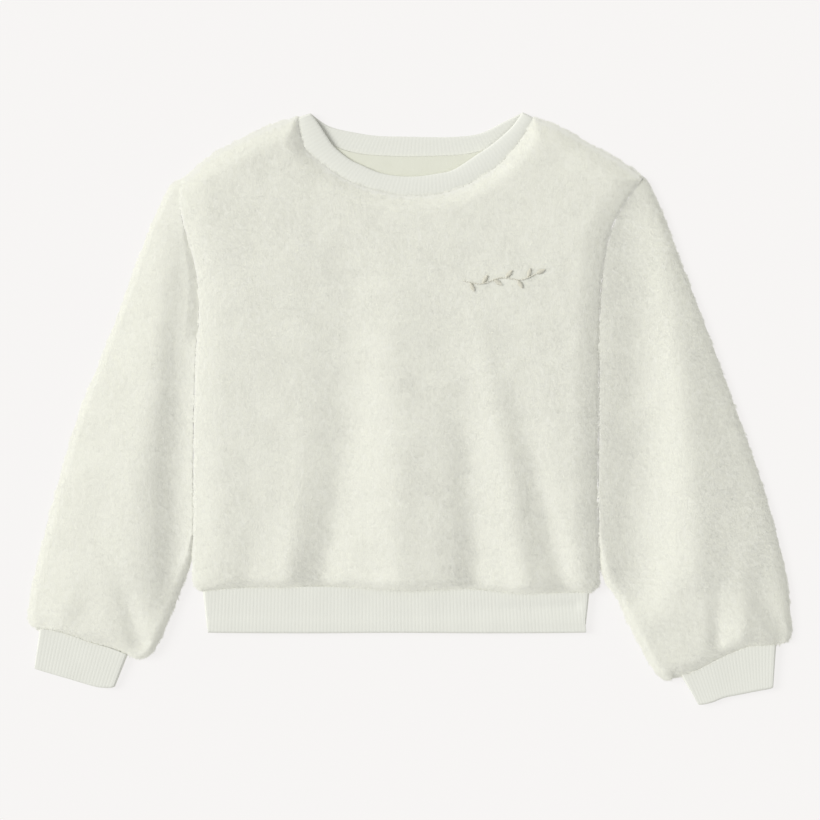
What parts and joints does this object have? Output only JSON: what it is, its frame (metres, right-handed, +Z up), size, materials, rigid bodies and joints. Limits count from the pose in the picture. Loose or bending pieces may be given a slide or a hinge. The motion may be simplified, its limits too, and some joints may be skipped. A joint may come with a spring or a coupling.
{
  "type": "sherpa fleece pullover",
  "caption": "Cream fleece pullover laid flat, with ribbed neckband, hem band and cuffs and full sleeves beside the body.",
  "frame": {"origin": "middle of the garment's outline, on the surface that it lies on", "axes": "+X across the chest towards the picture's right, +Y from the hem towards the neck, +Z up from the surface"},
  "size_m": [0.7616, 0.593, 0.0166],
  "materials": {
    "sherpa_fleece": "long soft cream pile, matt, with a faint sheen at grazing angles",
    "fleece_backing": "fleece with its smooth knitted backing on the inside",
    "rib_knit": "fine cream 1x1 rib knit, matt"
  },
  "bodies": {
    "root": {"front_panel": "sherpa_fleece", "back_panel": "fleece_backing", "sleeve_left": "sherpa_fleece", "sleeve_right": "sherpa_fleece", "neckband": "rib_knit", "hem_band": "rib_knit", "cuff_left": "rib_knit", "cuff_right": "rib_knit"}
  },
  "joints": []
}
